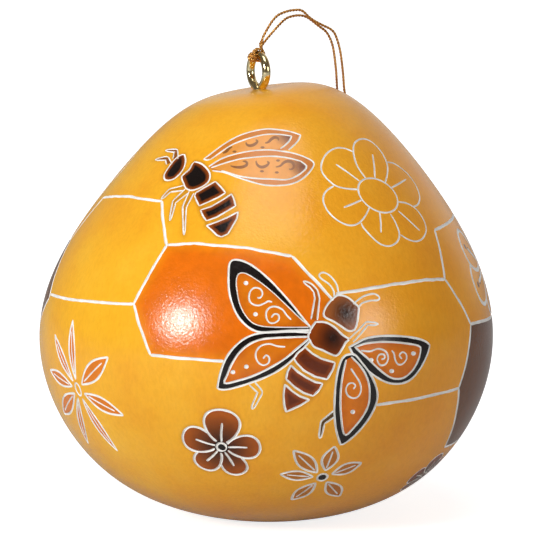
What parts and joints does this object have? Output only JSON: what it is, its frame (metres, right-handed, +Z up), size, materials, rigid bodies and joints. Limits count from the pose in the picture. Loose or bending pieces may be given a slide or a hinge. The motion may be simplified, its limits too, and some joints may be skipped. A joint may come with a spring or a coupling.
{
  "type": "carved gourd ornament",
  "caption": "Hollow dried gourd carved with bees, blossoms and honeycomb, with loose seeds inside, a brass screw eye in the crown and a knotted thread loop to hang it by.",
  "frame": {"origin": "centre of the gourd's outline seen from above, on the standing flat at the blossom end", "axes": "+Z up through the crown and the screw eye, -Y out of the carved face that looks at the viewer, +X to that viewer's right"},
  "size_m": [0.0759, 0.076, 0.0849],
  "materials": {
    "rind": "dried rind, stained golden orange, carved and scorched, under a glossy clear coat",
    "seed": "dull dry seed coat",
    "eye_brass": "polished bent wire",
    "thread": "twisted two-ply thread with a gold-coloured sheen"
  },
  "bodies": {
    "gourd": {"gourd_shell": "rind", "screw_eye": "eye_brass"},
    "seeds": {"gourd_seeds": "seed"},
    "hanger": {"hanger_knot": "thread", "hanger_loop": "thread"}
  },
  "joints": [
    {"name": "loop_swing", "type": "hinge", "parent": "gourd", "child": "hanger", "pos_m": [-0.00134, 0, 0.07734], "axis": [0.4848, -0.8746, 0], "range_deg": [0, 135]},
    {"name": "seed_rattle", "type": "slide", "parent": "gourd", "child": "seeds", "axis": [0, 0, 1], "range_m": [0, 0.025]}
  ]
}
